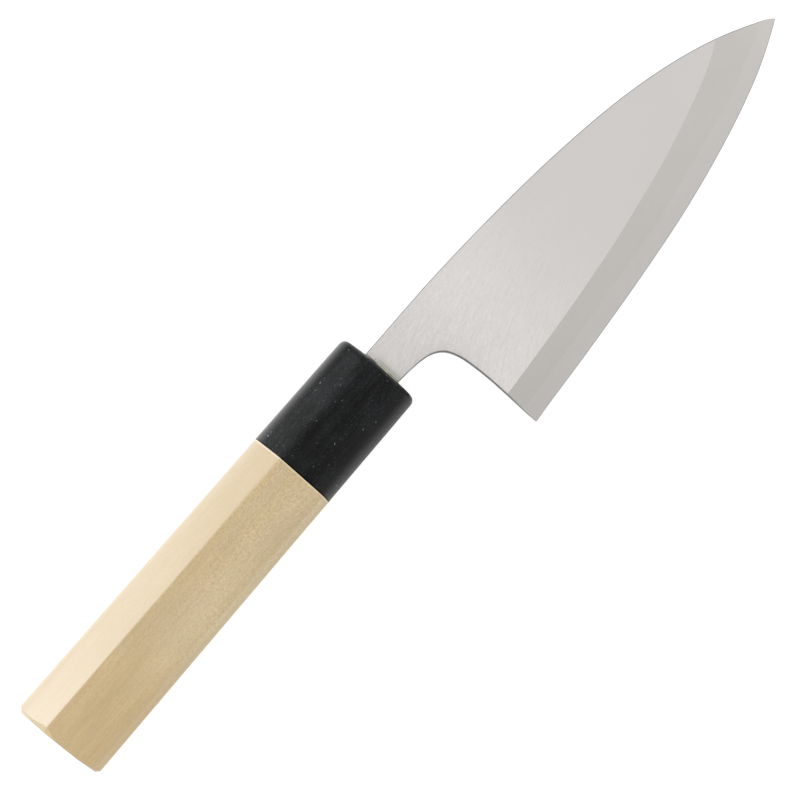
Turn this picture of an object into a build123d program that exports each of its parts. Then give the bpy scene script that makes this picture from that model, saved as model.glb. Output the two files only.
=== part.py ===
from build123d import *
import math
import os

os.makedirs("parts", exist_ok=True)

# ---------------------------------------------------------------------------
# Deba knife, millimetres.
# Working frame: x along the handle towards the tip, 0 where the neck turns into
# the tang, just ahead of the ferrule's face; y towards the spine, 0 on the
# handle's axis; z out of the bevelled (omote) side, 0 on the handle's axis.
# Everything is moved at the end so that the origin is at the middle of the
# bottom of the whole knife's box.
# ---------------------------------------------------------------------------

# driving dimensions -------------------------------------------------------
ura_z = -2.6                 # the flat back of the blade
neck_z = 2.6                 # height of the hira flat where the blade starts
neck_x = 15.0                # where that height is taken
spine_y = 5.12               # spine side of the neck
hira_start = 12.0            # the tapering flat starts here; the neck behind it keeps its thickness
taper_x = 0.0262             # thinning of the blade towards the tip, mm per mm
taper_y = 0.0394             # thinning from the spine to the shinogi, mm per mm
edge_land = 0.12             # thickness left at the cutting edge
bevel_over = 3.0             # how far the bevel cutter runs past its two lines

lam_heel = 1.75              # thickness of the hard steel at the heel
lam_x = 20.0                 # where that thickness is taken
lam_taper = 0.011            # thinning of the hard steel, mm per mm
steel_start = 13.5           # the hard steel ends here, behind the heel

hollow_r = 311.0             # radius of the hollow ground in the ura side

tang_end = -92.0             # end of the stick tang inside the handle
tang_y0, tang_y1 = -2.3, 2.5     # sides of the tang at its end
tang_z0, tang_z1 = -1.3, 1.5     # faces of the tang at its end
slot_relief = 3.0            # the slot is this much deeper than the tang

butt_x = -124.1              # butt of the handle
joint_x = -34.4              # shoulder between the wood and the horn
front_x = -0.75              # the ferrule's front face
butt_b, butt_a = 12.90, 10.0     # half height and half thickness at the butt
front_b, front_a = 11.90, 9.3    # the same at the ferrule's front
butt_drop = -0.03            # sideways offset of the section's centre, butt
ridge_u, ridge_w = 0.337, 1.08   # ridge of the section in half sizes, butt
ridge_u_joint = 0.350        # at the shoulder between wood and horn
ridge_u_front = 0.300        # the ridge comes a little nearer to the middle in the ferrule
butt_chamfer = 1.0
front_round_x = 1.9          # rounding of the ferrule's front border, along the handle
front_round_r = 1.3          # and across it

tenon_b, tenon_a = 8.6, 6.4  # half axes of the oval tenon
tenon_end = front_x - 0.4    # the tenon stops just inside the ferrule's face

seal_back = front_x - 1.5    # the seal reaches this far into the slot's mouth
seal_front = front_x + 0.7   # and stands this far out of the ferrule
seal_grow = 1.1              # its border around the neck at the face

# outline of the blade in plan (x, y) ---------------------------------------
spine_pts = [(20.0, 5.08), (27.0, 4.92), (37.0, 4.51), (47.0, 3.95), (57.0, 3.22),
             (67.0, 2.28), (77.0, 1.07), (87.0, -0.45), (97.0, -2.47), (107.0, -5.13),
             (117.0, -8.62), (124.0, -11.75), (130.0, -14.95), (134.0, -17.9)]
edge_pts = [(15.4, -38.72), (18.5, -38.40), (23.0, -38.04), (33.0, -37.37), (43.0, -36.57), (53.0, -35.7),
            (63.0, -34.7), (73.0, -33.57), (83.0, -32.18), (93.0, -30.42), (103.0, -28.32),
            (113.0, -25.8), (121.0, -23.33), (128.0, -20.6), (134.0, -17.9)]
heel_pts = [(15.4, -38.72), (15.42, -35.5), (15.6, -30.0), (15.73, -25.0), (15.7, -20.5),
            (15.5, -17.0), (15.2, -14.2), (14.7, -12.15), (13.8, -10.1), (12.4, -8.5),
            (10.8, -7.5), (8.5, -6.75), (5.0, -6.17), (0.0, -5.75)]

# shinogi line (x, y), run on past the spine so that the bevel takes in the tip
shinogi_pts = [(8.0, -29.0), (15.5, -28.5), (25.0, -27.8), (35.0, -27.02), (45.0, -26.1),
               (55.0, -25.02), (65.0, -23.75), (75.0, -22.12), (85.0, -20.37), (95.0, -18.13),
               (105.0, -15.4), (113.0, -12.8), (119.5, -9.76), (126.0, -6.1), (132.0, -2.4),
               (138.0, 1.6)]


def lerp(pts, x):
    """y of a polyline of points at x, straight on past its two ends."""
    for (x0, y0), (x1, y1) in zip(pts, pts[1:]):
        if x <= x1 or (x1, y1) == pts[-1]:
            return y0 + (y1 - y0) * (x - x0) / (x1 - x0)


def hira_z(x, y):
    return neck_z - taper_x * (x - neck_x) - taper_y * (spine_y - y)


def lam_z(x):
    return ura_z + lam_heel - lam_taper * (x - lam_x)


# ---------------------------------------------------------------------------
# Blade, whole, before it is split into its two steels
# ---------------------------------------------------------------------------
tip = spine_pts[-1]
outline = [
    Line((0.0, spine_y), spine_pts[0]),
    Spline(*spine_pts, tangents=[(1, -0.006), (0.62, -0.78)]),
    Spline(*edge_pts[::-1], tangents=[(-1, -0.47), (-0.6, -0.075)]),
    Spline(*heel_pts, tangents=[(0.0, 1.0), (-1, 0.07)]),
    Line(heel_pts[-1], (0.0, spine_y)),
]
blade = Plane.XY.offset(ura_z) * extrude(make_face(outline), amount=8.0)

# hira flat, and the top of the neck, which leans the same way but doesn't taper along x
hira_plane = Plane(origin=(neck_x, spine_y, neck_z), x_dir=(1, 0, -taper_x),
                   z_dir=(taper_x, -taper_y, 1))
above = hira_plane * Box(400, 400, 30, align=(Align.CENTER, Align.CENTER, Align.MIN))
blade = blade - (above & Pos(hira_start, 0, 0) * Box(400, 400, 400, align=(Align.MIN, Align.CENTER, Align.CENTER)))
neck_plane = Plane(origin=(hira_start, spine_y, hira_z(hira_start, spine_y)), x_dir=(1, 0, 0),
                   z_dir=(0, -taper_y, 1))
blade = blade - neck_plane * Box(60, 400, 30, align=(Align.MAX, Align.CENTER, Align.MIN))

# bevel (kireha): straight across, from the shinogi line down to the edge
sections = []
for x, ys in shinogi_pts:
    ye = lerp(edge_pts, x)
    ze = ura_z + edge_land
    zs = hira_z(x, ys)
    length = math.hypot(ys - ye, zs - ze)
    uy, uz = (ys - ye) / length, (zs - ze) / length
    p1 = (ye - uy * bevel_over, ze - uz * bevel_over)
    p2 = (ys + uy * bevel_over, zs + uz * bevel_over)
    sections.append(make_face(Polyline((x, *p1), (x, *p2), (x, p2[0], 14.0), (x, p1[0], 14.0),
                                       close=True)))
blade = blade - loft(sections)

# hollow of the ura side (urasuki): arcs of one radius that run out into a flat rim
hollow = [(16.5, -17.5, -0.10), (20.0, -17.4, 0.16), (25.0, -17.3, 0.36), (32.0, -17.1, 0.50),
          (42.0, -16.9, 0.50), (55.0, -16.7, 0.45), (70.0, -16.5, 0.365), (85.0, -16.4, 0.265),
          (98.0, -16.5, 0.165), (110.0, -16.8, 0.07), (118.0, -17.1, 0.0), (125.0, -17.4, -0.08)]
sections = []
for x, yc, depth in hollow:
    top = ura_z + depth
    half = 24.0
    sag = hollow_r - math.sqrt(hollow_r ** 2 - half ** 2)
    a, m, b = (x, yc - half, top - sag), (x, yc, top), (x, yc + half, top - sag)
    low = ura_z - 4.0
    sections.append(make_face([ThreePointArc(a, m, b), Line(b, (x, yc + half, low)),
                               Line((x, yc + half, low), (x, yc - half, low)),
                               Line((x, yc - half, low), a)]))
blade = blade - loft(sections)

# ---------------------------------------------------------------------------
# The two steels: everything under the lamination plane, ahead of its step, is
# the hard edge steel; the rest, with the neck and the tang, is the cladding
# ---------------------------------------------------------------------------
far = 150.0
lower = make_face(Polyline((steel_start, -60.0, lam_z(steel_start)), (far, -60.0, lam_z(far)),
                           (far, -60.0, -8.0), (steel_start, -60.0, -8.0), close=True))
lower = extrude(lower, amount=90.0, dir=(0, 1, 0))
edge_steel = blade & lower
cladding = blade - lower

# stick tang, a straight wedge from the neck's own section to its small end
root = make_face(Polyline((0, -5.75, ura_z), (0, spine_y, ura_z), (0, spine_y, hira_z(hira_start, spine_y)),
                          (0, -5.75, hira_z(hira_start, -5.75)), close=True))


def tang_section(x):
    k = x / tang_end
    y0 = -5.75 + (tang_y0 + 5.75) * k
    y1 = spine_y + (tang_y1 - spine_y) * k
    z0 = ura_z + (tang_z0 - ura_z) * k
    z1 = hira_z(hira_start, spine_y) + (tang_z1 - hira_z(hira_start, spine_y)) * k
    return make_face(Polyline((x, y0, z0), (x, y1, z0), (x, y1, z1),
                              (x, y0, z1 - taper_y * (y1 - y0)), close=True))


tang = loft([root, tang_section(tang_end)], ruled=True)
slot = loft([root, tang_section(tang_end - slot_relief)], ruled=True)
cladding = cladding + tang

# ---------------------------------------------------------------------------
# Handle section: an oval with one ridge on the omote side (chestnut shape).
# Two flat facets meet in the ridge and turn softly into the oval.
# ---------------------------------------------------------------------------
facet_soft = 22.0            # how sharply the facets turn into the oval
facet_up = (0.80, 0.585)     # a point on the upper facet, in half sizes
facet_low = (-0.60, 0.80)    # a point on the lower facet
oval_up = 1.2                # the oval's omote half is this much fuller


def facet_r(theta, p, q):
    """distance along theta to the straight line through p and q"""
    nx, ny = -(q[1] - p[1]), q[0] - p[0]
    c = nx * p[0] + ny * p[1]
    d = nx * math.cos(theta) + ny * math.sin(theta)
    return c / d if c * d > 1e-9 else 1e3


def section_point(theta, ridge):
    cu, su = math.cos(theta), math.sin(theta)
    oval = 1.0 / math.hypot(cu, su / (oval_up if su > 0 else 1.0))
    facets = min(facet_r(theta, ridge, facet_up), facet_r(theta, ridge, facet_low))
    r = (oval ** -facet_soft + facets ** -facet_soft) ** (-1.0 / facet_soft)
    return r * cu, r * su


def handle_section(x, inset=0.0):
    """closed profile of the handle at x, taken in by inset all round"""
    k = (x - butt_x) / (0.0 - butt_x)
    b = butt_b + (front_b - butt_b) * k - inset
    a = butt_a + (front_a - butt_a) * k - inset
    yc = butt_drop * (1 - k)
    if x <= joint_x:
        u = ridge_u + (ridge_u_joint - ridge_u) * (x - butt_x) / (joint_x - butt_x)
    else:
        u = ridge_u_joint + (ridge_u_front - ridge_u_joint) * (x - joint_x) / (0.0 - joint_x)
    ridge = (u, ridge_w)
    start = math.atan2(ridge[1], ridge[0])
    n = 44
    pts = []
    for i in range(n + 1):
        u, w = section_point(start + 2 * math.pi * i / n, ridge)
        pts.append((x, yc + b * u, a * w))
    pts[-1] = pts[0]
    return make_face([Spline(*pts)])


grip = loft([handle_section(butt_x, butt_chamfer), handle_section(butt_x + butt_chamfer),
             handle_section(joint_x)], ruled=True)

stations = [(joint_x, 0.0), (front_x - front_round_x, 0.0)]
for deg in (30, 55, 75, 90):
    t = math.radians(deg)
    stations.append((front_x - front_round_x * (1 - math.sin(t)), front_round_r * (1 - math.cos(t))))
ferrule = loft([handle_section(x, i) for x, i in stations], ruled=True)

# oval tenon in one piece with the grip, and the bore that takes it
bore = Plane.YZ.offset(joint_x) * extrude(Ellipse(tenon_b, tenon_a), amount=-joint_x + 5.0)
tenon = Plane.YZ.offset(joint_x) * extrude(Ellipse(tenon_b, tenon_a), amount=tenon_end - joint_x)
ferrule = ferrule - bore
grip = grip + tenon


# seal: a bead around the neck, in the mouth of the slot and just out of it
def seal_section(x, grow):
    y0, y1 = -5.75 - grow, spine_y + grow
    z0, z1 = ura_z - grow, hira_z(hira_start, spine_y) + grow
    r = min(0.6 + grow, 1.6)
    return Plane.YZ.offset(x) * Pos((y0 + y1) / 2, (z0 + z1) / 2) * RectangleRounded(y1 - y0, z1 - z0, r)


seal = loft([seal_section(seal_back, 0.5), seal_section(front_x, seal_grow),
             seal_section(front_x + 0.35, seal_grow - 0.25), seal_section(seal_front, 0.35)], ruled=True)
grip = grip - slot - seal
seal = seal - cladding - edge_steel

# ---------------------------------------------------------------------------
# Move to the shared origin and write
# ---------------------------------------------------------------------------
nodes = {
    "blade_cladding": cladding,
    "edge_steel": edge_steel,
    "wood_handle": grip,
    "horn_ferrule": ferrule,
    "tang_seal": seal,
}
box = Compound(children=[s for n in nodes.values() for s in n.solids()]).bounding_box()
shift = Pos(-(box.min.X + box.max.X) / 2, -(box.min.Y + box.max.Y) / 2, -box.min.Z)
print("shift", [round(v, 4) for v in shift.position])
for name, shape in nodes.items():
    solids = [shift * s for s in shape.solids()]
    out = solids[0] if len(solids) == 1 else Compound(children=solids)
    out.label = name
    b = out.bounding_box()
    print(name, len(solids), "solids", round(sum(s.volume for s in solids), 2), "mm3",
          [round(v, 2) for v in (b.min.X, b.min.Y, b.min.Z, b.max.X, b.max.Y, b.max.Z)])
    export_step(out, f"parts/{name}.step")
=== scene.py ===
import math

import bmesh
import bpy
import numpy as np
from mathutils import Matrix, Vector
from mathutils.geometry import delaunay_2d_cdt


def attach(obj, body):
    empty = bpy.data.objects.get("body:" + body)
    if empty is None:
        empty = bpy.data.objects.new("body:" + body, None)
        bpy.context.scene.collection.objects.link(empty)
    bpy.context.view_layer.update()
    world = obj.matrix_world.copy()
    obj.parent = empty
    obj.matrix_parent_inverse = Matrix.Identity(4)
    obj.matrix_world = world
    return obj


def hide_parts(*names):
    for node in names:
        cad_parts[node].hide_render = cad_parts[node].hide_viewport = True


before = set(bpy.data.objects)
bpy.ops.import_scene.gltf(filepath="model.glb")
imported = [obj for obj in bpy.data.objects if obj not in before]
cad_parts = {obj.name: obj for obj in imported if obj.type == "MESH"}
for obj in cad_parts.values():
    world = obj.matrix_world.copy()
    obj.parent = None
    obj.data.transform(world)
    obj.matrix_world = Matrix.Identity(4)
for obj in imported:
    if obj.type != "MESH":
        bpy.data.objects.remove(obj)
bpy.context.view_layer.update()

# ---------------------------------------------------------------------------
# Deba knife. Shapes are worked out in millimetres in a working frame: x along
# the handle towards the tip, 0 where the neck turns into the tang, just ahead
# of the ferrule's face; y towards the spine, 0 on the handle's axis; z out of
# the bevelled side. SHIFT takes them to the frame of the CAD model.
# ---------------------------------------------------------------------------
SHIFT = np.array((-4.95, 12.9287, 9.9944))

URA_Z = -2.6
NECK_Z, NECK_X, SPINE_Y = 2.6, 15.0, 5.12
HIRA_START = 12.0
TAPER_X, TAPER_Y = 0.0262, 0.0394
EDGE_LAND = 0.12
LAM_HEEL, LAM_X, LAM_TAPER = 1.75, 20.0, 0.011
STEEL_START = 13.5
HOLLOW_R = 311.0
TANG_END = -92.0
TANG_Y0, TANG_Y1, TANG_Z0, TANG_Z1 = -2.3, 2.5, -1.3, 1.5
SLOT_RELIEF = 3.0
UNDER_Y = -5.75

BUTT_X, JOINT_X, FRONT_X = -124.1, -34.4, -0.75
BUTT_B, BUTT_A, FRONT_B, FRONT_A = 12.90, 10.0, 11.90, 9.3
BUTT_DROP = -0.03
RIDGE_U, RIDGE_U_JOINT, RIDGE_U_FRONT, RIDGE_W = 0.337, 0.350, 0.300, 1.08
FACET_SOFT = 22.0
FACET_UP, FACET_LOW = (0.80, 0.585), (-0.60, 0.80)
OVAL_UP = 1.2
FRONT_ROUND_X, FRONT_ROUND_R = 1.9, 1.3
TENON_B, TENON_A, TENON_END = 8.6, 6.4, FRONT_X - 0.4

SPINE_PTS = [(20.0, 5.08), (27.0, 4.92), (37.0, 4.51), (47.0, 3.95), (57.0, 3.22), (67.0, 2.28),
             (77.0, 1.07), (87.0, -0.45), (97.0, -2.47), (107.0, -5.13), (117.0, -8.62),
             (124.0, -11.75), (130.0, -14.95), (134.0, -17.9)]
EDGE_PTS = [(15.4, -38.72), (18.5, -38.40), (23.0, -38.04), (33.0, -37.37), (43.0, -36.57), (53.0, -35.7),
            (63.0, -34.7), (73.0, -33.57), (83.0, -32.18), (93.0, -30.42), (103.0, -28.32),
            (113.0, -25.8), (121.0, -23.33), (128.0, -20.6), (134.0, -17.9)]
HEEL_PTS = [(15.4, -38.72), (15.42, -35.5), (15.6, -30.0), (15.73, -25.0), (15.7, -20.5),
            (15.5, -17.0), (15.2, -14.2), (14.7, -12.15), (13.8, -10.1), (12.4, -8.5),
            (10.8, -7.5), (8.5, -6.75), (5.0, -6.17), (0.0, -5.75)]
SHINOGI_PTS = [(8.0, -29.0), (15.5, -28.5), (25.0, -27.8), (35.0, -27.02), (45.0, -26.1),
               (55.0, -25.02), (65.0, -23.75), (75.0, -22.12), (85.0, -20.37), (95.0, -18.13),
               (105.0, -15.4), (113.0, -12.8), (119.5, -9.76), (126.0, -6.1), (132.0, -2.4),
               (138.0, 1.6)]
HOLLOW = [(16.5, -17.5, -0.10), (20.0, -17.4, 0.16), (25.0, -17.3, 0.36), (32.0, -17.1, 0.50),
          (42.0, -16.9, 0.50), (55.0, -16.7, 0.45), (70.0, -16.5, 0.365), (85.0, -16.4, 0.265),
          (98.0, -16.5, 0.165), (110.0, -16.8, 0.07), (118.0, -17.1, 0.0), (125.0, -17.4, -0.08)]

rng = np.random.default_rng(11)


# ---------------------------------------------------------------------------
# Small tools
# ---------------------------------------------------------------------------
def smooth(a, b, x):
    t = np.clip((np.asarray(x, float) - a) / (b - a), 0.0, 1.0)
    return t * t * (3 - 2 * t)


def curve_through(xs, ys):
    """Smooth function y(x) through the points, straight on past both ends."""
    xs, ys = np.asarray(xs, float), np.asarray(ys, float)
    n, h = len(xs), np.diff(xs)
    a, b = np.zeros((n, n)), np.zeros(n)
    a[0, 0] = a[-1, -1] = 1
    for i in range(1, n - 1):
        a[i, i - 1], a[i, i], a[i, i + 1] = h[i - 1], 2 * (h[i - 1] + h[i]), h[i]
        b[i] = 6 * ((ys[i + 1] - ys[i]) / h[i] - (ys[i] - ys[i - 1]) / h[i - 1])
    m = np.linalg.solve(a, b)
    s0 = (ys[1] - ys[0]) / h[0] - h[0] * (2 * m[0] + m[1]) / 6
    s1 = (ys[-1] - ys[-2]) / h[-1] + h[-1] * (m[-2] + 2 * m[-1]) / 6

    def f(x):
        x = np.asarray(x, float)
        xc = np.clip(x, xs[0], xs[-1])
        i = np.clip(np.searchsorted(xs, xc) - 1, 0, n - 2)
        t0, t1, hh = xc - xs[i], xs[i + 1] - xc, h[i]
        y = ((m[i] * t1 ** 3 + m[i + 1] * t0 ** 3) / (6 * hh) + (ys[i] / hh - m[i] * hh / 6) * t1
             + (ys[i + 1] / hh - m[i + 1] * hh / 6) * t0)
        return y + np.minimum(x - xs[0], 0) * s0 + np.maximum(x - xs[-1], 0) * s1

    return f


def spline_run(pts, start, end, step=0.02):
    """Dense points on the smooth curve through pts with the two end directions."""
    p = np.array(pts, float)
    h = np.linalg.norm(np.diff(p, axis=0), axis=1)
    u = np.concatenate([[0], np.cumsum(h)])
    n = len(p)
    a, b = np.zeros((n, n)), np.zeros((n, 2))
    a[0, 0] = a[-1, -1] = 1
    b[0], b[-1] = np.array(start) / np.hypot(*start), np.array(end) / np.hypot(*end)
    for i in range(1, n - 1):
        a[i, i - 1], a[i, i], a[i, i + 1] = h[i], 2 * (h[i - 1] + h[i]), h[i - 1]
        b[i] = 3 * (h[i] * (p[i] - p[i - 1]) / h[i - 1] + h[i - 1] * (p[i + 1] - p[i]) / h[i])
    d = np.linalg.solve(a, b)
    t = np.linspace(0, u[-1], int(u[-1] / step) + 2)
    i = np.clip(np.searchsorted(u, t, side="right") - 1, 0, n - 2)
    hh = h[i][:, None]
    s = ((t - u[i])[:, None]) / hh
    return ((2 * s ** 3 - 3 * s ** 2 + 1) * p[i] + (s ** 3 - 2 * s ** 2 + s) * hh * d[i]
            + (-2 * s ** 3 + 3 * s ** 2) * p[i + 1] + (s ** 3 - s ** 2) * hh * d[i + 1])


def lengths(p):
    return np.concatenate([[0], np.cumsum(np.linalg.norm(np.diff(p, axis=0), axis=1))])


def round_corner(a, b, radius):
    """Dense run a, an arc of that radius in the corner where it meets run b, and run b."""
    la, lb = lengths(a), lengths(b)
    da, db = a[-1] - a[-8], b[7] - b[0]
    da, db = da / np.hypot(*da), db / np.hypot(*db)
    turn = math.acos(float(np.clip(da @ db, -1, 1)))
    cut = radius * math.tan(turn / 2)
    ia, ib = np.searchsorted(la, la[-1] - cut), np.searchsorted(lb, cut)
    p0, p3 = a[ia], b[ib]
    k = 4 / 3 * math.tan(turn / 4) * radius
    p1, p2 = p0 + da * k, p3 - db * k
    t = np.linspace(0, 1, 40)[:, None]
    arc = (1 - t) ** 3 * p0 + 3 * (1 - t) ** 2 * t * p1 + 3 * (1 - t) * t ** 2 * p2 + t ** 3 * p3
    return np.vstack([a[:ia], arc, b[ib + 1:]]), la[ia], la[ia] + radius * turn


def to_object(name, verts, faces, mats, mat_ids=None, sharp_deg=32.0):
    """A mesh piece from working-frame millimetres, smooth shaded with crisp edges kept."""
    mesh = bpy.data.meshes.new(name)
    mesh.from_pydata(((np.asarray(verts, float) + SHIFT) * 0.001).tolist(), [], faces)
    for m in mats:
        mesh.materials.append(m)
    if mat_ids is not None:
        mesh.polygons.foreach_set("material_index", np.asarray(mat_ids, np.int32))
    mesh.polygons.foreach_set("use_smooth", np.ones(len(mesh.polygons), bool))
    obj = bpy.data.objects.new(name, mesh)
    bpy.context.scene.collection.objects.link(obj)
    bm = bmesh.new()
    bm.from_mesh(mesh)
    bmesh.ops.recalc_face_normals(bm, faces=bm.faces)
    finish_bmesh(bm, mesh, sharp_deg)
    return obj


def finish_bmesh(bm, mesh, sharp_deg):
    limit = math.radians(sharp_deg)
    mark = bm.faces.layers.int.get("cut")
    for e in bm.edges:
        f = e.link_faces
        crisp = len(f) == 2 and (e.calc_face_angle(0.0) > limit or (mark is not None and f[0][mark] != f[1][mark]))
        e.smooth = not crisp
    if mark is not None:
        bm.faces.layers.int.remove(mark)
    for f in bm.faces:
        f.smooth = True
    open_edges = sum(1 for e in bm.edges if len(e.link_faces) != 2)
    print(f"{mesh.name}: {len(bm.faces)} faces, {open_edges} open edges, volume {bm.calc_volume() * 1e9:.1f} mm3")
    bm.to_mesh(mesh)
    bm.free()
    mesh.update()


def soft_normals(obj):
    """Flats stay flat up to their rounded borders: normals weighted by face area."""
    mod = obj.modifiers.new("normals", "WEIGHTED_NORMAL")
    mod.mode = "FACE_AREA"
    mod.weight = 50
    mod.keep_sharp = True


# ---------------------------------------------------------------------------
# Blade surfaces
# ---------------------------------------------------------------------------
shinogi_y = curve_through(*zip(*SHINOGI_PTS))
edge_y = curve_through(*zip(*EDGE_PTS))
hollow_yc = curve_through([h[0] for h in HOLLOW], [h[1] for h in HOLLOW])
hollow_d = curve_through([h[0] for h in HOLLOW], [h[2] for h in HOLLOW])


def hira_z(x, y):
    return NECK_Z - TAPER_X * (np.maximum(x, HIRA_START) - NECK_X) - TAPER_Y * (SPINE_Y - y)


def bevel_z(x, y):
    ys, ye = shinogi_y(x), edge_y(x)
    zs, ze = hira_z(x, ys), URA_Z + EDGE_LAND
    return ze + (zs - ze) * (y - ye) / (ys - ye)


def top_z(x, y):
    return np.where(np.asarray(x) < 14.0, hira_z(x, y), np.minimum(hira_z(x, y), bevel_z(x, y)))


def under_z(x, y):
    d, yc = hollow_d(x), hollow_yc(x)
    z = URA_Z + d - (HOLLOW_R - np.sqrt(np.maximum(HOLLOW_R ** 2 - (y - yc) ** 2, 1.0)))
    return np.where((x > 16.5) & (x < 125.0), np.maximum(URA_Z, z), URA_Z)


def lam_wave(x):
    """the weld line of the two steels wanders a little along the bevel"""
    return 0.028 * np.sin(x / 6.7 + 0.6) + 0.016 * np.sin(x / 2.7 + 1.9) + 0.010 * np.sin(x / 1.33)


# outline of the blade, clockwise from the top of the neck
run_spine = np.vstack([np.column_stack([np.linspace(0, 20, 1000)[:-1],
                                        np.interp(np.linspace(0, 20, 1000)[:-1], [0, 20], [SPINE_Y, 5.08])]),
                       spline_run(SPINE_PTS, (1, -0.006), (0.62, -0.78))])
run_edge = spline_run(EDGE_PTS[::-1], (-1, -0.47), (-0.6, -0.075))
run_heel = spline_run(HEEL_PTS, (0.0, 1.0), (-1, 0.07))
outline, tip_a, tip_b = round_corner(run_spine, run_edge, 0.25)
outline, heel_a, heel_b = round_corner(outline, run_heel, 0.34)
arc = lengths(outline)
keep = np.concatenate([[True], np.diff(arc) > 1e-6])
outline, arc = outline[keep], arc[keep]
total = arc[-1]


def at(s):
    return np.column_stack([np.interp(s, arc, outline[:, 0]), np.interp(s, arc, outline[:, 1])])


def inward(s):
    d = at(np.minimum(s + 0.03, total)) - at(np.maximum(s - 0.03, 0))
    d /= np.linalg.norm(d, axis=1)[:, None]
    return np.column_stack([d[:, 1], -d[:, 0]])


tip_mid, heel_mid = (tip_a + tip_b) / 2, (heel_a + heel_b) / 2

# where the shinogi meets the outline, at the heel's back and on the spine
dense = np.linspace(0, total, 40000)
side = at(dense)
sign = side[:, 1] - shinogi_y(side[:, 0])
on_blade = side[:, 0] > 14.5
cross = [dense[i] for i in np.nonzero((sign[:-1] * sign[1:] < 0) & on_blade[:-1])[0]]
print("shinogi meets the outline at", [tuple(np.round(at(np.array([c]))[0], 2)) for c in cross])

# spacing of the outline's points
gap = np.full(dense.shape, 0.5)
for c, reach, fine in [(tip_mid, 0.7, 0.045), (heel_mid, 0.8, 0.05)] + [(c, 0.35, 0.05) for c in cross]:
    gap = np.minimum(gap, fine + np.maximum(np.abs(dense - c) - reach, 0) * 0.35)
choil = (side[:, 0] > 7) & (side[:, 0] < 15.4) & (side[:, 1] < -6) & (side[:, 1] > -16)
gap = np.where(choil, np.minimum(gap, 0.25), gap)
count = np.concatenate([[0], np.cumsum((1 / gap[1:] + 1 / gap[:-1]) / 2 * np.diff(dense))])
n_col = int(count[-1]) + 1
s_col = np.interp(np.linspace(0, count[-1], n_col), count, dense)
base = at(s_col)
norm = inward(s_col)
norm[0], norm[-1] = (0, -1), (0, 1)

# border of the outline: rounded along spine, neck and heel, a fine second bevel at the edge
thick = top_z(base[:, 0], base[:, 1]) - under_z(base[:, 0], base[:, 1])
on_edge = smooth(tip_mid - 0.15, tip_mid + 0.6, s_col) * (1 - smooth(heel_mid - 0.6, heel_mid + 0.15, s_col))
radius = 0.30 - 0.14 * smooth(heel_mid - 1, heel_mid, s_col) * (1 - smooth(heel_mid + 26, heel_mid + 30, s_col))
radius = np.minimum(radius, 0.36 * thick)
near_tip = 1 - smooth(0.3, 3.0, np.abs(s_col - tip_mid))
near_heel = 1 - smooth(0.3, 2.0, np.abs(s_col - heel_mid))
top_w = (1 - on_edge) * radius + on_edge * 0.21
top_w = np.minimum(top_w, 0.21 - 0.09 * near_tip * 1.0) * near_tip + top_w * (1 - near_tip)
top_w = np.minimum(top_w, 0.15) * near_heel + top_w * (1 - near_heel)
top_h = (1 - on_edge) * radius + on_edge * 0.075
low_w = (1 - on_edge) * radius * 0.8 + on_edge * 0.02
low_h = (1 - on_edge) * radius * 0.8 + on_edge * 0.008
ROWS = 6
ring_extra = 0.12 - 0.05 * near_tip - 0.04 * near_heel


def border(width, drop, bevelled, surface, sgn):
    """rows of points from the wall inwards to the flat"""
    rows = []
    for k in range(ROWS + 2):
        a = min(k / ROWS, 1.0)
        th = a * math.pi / 2
        d = (1 - bevelled) * width * (1 - math.cos(th)) + bevelled * width * a
        h = (1 - bevelled) * drop * (1 - math.sin(th)) + bevelled * drop * (1 - a)
        if k == ROWS + 1:
            d = width + ring_extra
        p = base + norm * d[:, None]
        p[0, 0] = p[-1, 0] = 0.0
        rows.append(np.column_stack([p, surface(p[:, 0], p[:, 1]) - sgn * h]))
    return rows


top_rows = border(top_w, top_h, on_edge, top_z, 1)
low_rows = border(low_w, low_h, on_edge * 0, under_z, -1)


def inside(poly, pts, margin):
    """points inside the closed polygon and at least margin away from its border"""
    a, b = poly, np.roll(poly, -1, axis=0)
    keep_it = np.zeros(len(pts), bool)
    for i0 in range(0, len(pts), 400):
        p = pts[i0:i0 + 400][:, None, :]
        cond = (a[None, :, 1] > p[..., 1]) != (b[None, :, 1] > p[..., 1])
        with np.errstate(divide="ignore", invalid="ignore"):
            xi = (b[:, 0] - a[:, 0]) * (p[..., 1] - a[:, 1]) / (b[:, 1] - a[:, 1]) + a[:, 0]
        odd = (cond & (p[..., 0] < xi)).sum(axis=1) % 2 == 1
        ab = b - a
        t = np.clip(((p - a) * ab).sum(-1) / np.maximum((ab ** 2).sum(-1), 1e-12), 0, 1)
        dist = np.linalg.norm(p - (a + ab * t[..., None]), axis=-1).min(axis=1)
        keep_it[i0:i0 + 400] = odd & (dist > margin)
    return pts[keep_it]


def triangulated(ring, lines, pts):
    """Triangles inside the closed ring, with the lines kept as edges. A line is a list of points or ring numbers."""
    co, edges = [Vector(p) for p in ring], [(i, (i + 1) % len(ring)) for i in range(len(ring))]
    for line in lines:
        ids = []
        for p in line:
            if isinstance(p, (int, np.integer)):
                ids.append(int(p))
            else:
                ids.append(len(co))
                co.append(Vector(p))
        edges += list(zip(ids, ids[1:]))
    co += [Vector(p) for p in pts]
    out, _, faces, origin, _, _ = delaunay_2d_cdt(co, edges, [], 1, 1e-7)
    place = {}
    for i, src in enumerate(origin):
        for j in src:
            if j < len(ring):
                place[j] = i
    return np.array([tuple(p) for p in out]), faces, place


END = 9
end_y = np.linspace(0, 1, END + 2)[1:-1]


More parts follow.
